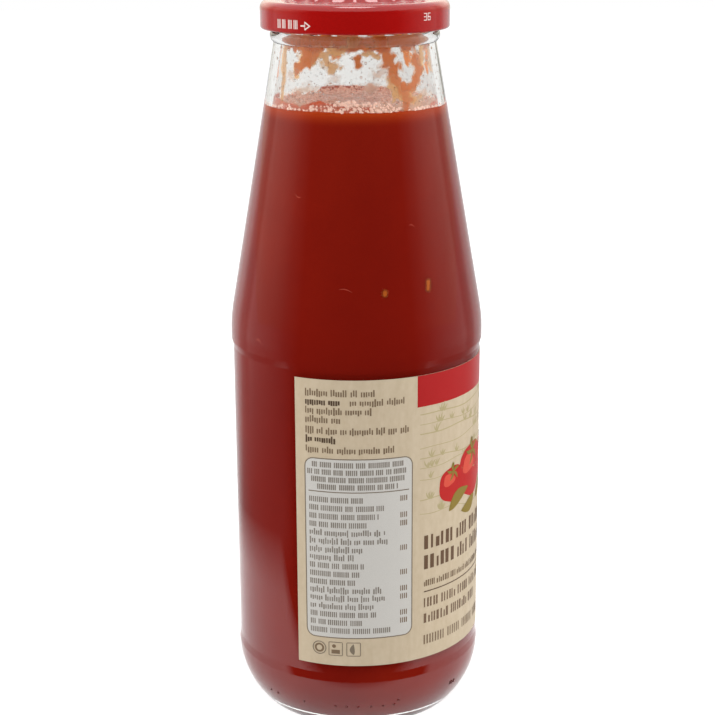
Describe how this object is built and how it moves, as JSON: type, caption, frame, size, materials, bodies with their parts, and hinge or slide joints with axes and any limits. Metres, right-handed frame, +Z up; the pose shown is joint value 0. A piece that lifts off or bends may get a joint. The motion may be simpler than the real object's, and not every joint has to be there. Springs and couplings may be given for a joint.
{
  "type": "jar of tomato pulp",
  "caption": "Tall clear glass jar of chopped tomato pulp with a long tapered neck, a red twist-off metal lid with a fluted top and a wrap-round cream paper label",
  "frame": {"origin": "centre of the jar's base, on the surface it stands on", "axes": "+Z up along the jar's axis; the label's side panel faces -Y and its front panel turns towards +X"},
  "size_m": [0.0775, 0.0776, 0.2228],
  "materials": {
    "glass": "clear flint glass, glossy",
    "pulp": "wet",
    "paper": "uncoated printed paper",
    "lacquered_tin": "gloss lacquer",
    "gasket": "matt"
  },
  "bodies": {
    "root": {"glass_jar": "glass", "tomato_pulp": "pulp", "label": "paper", "lid": "lacquered_tin", "lid_gasket": "gasket"}
  },
  "joints": []
}
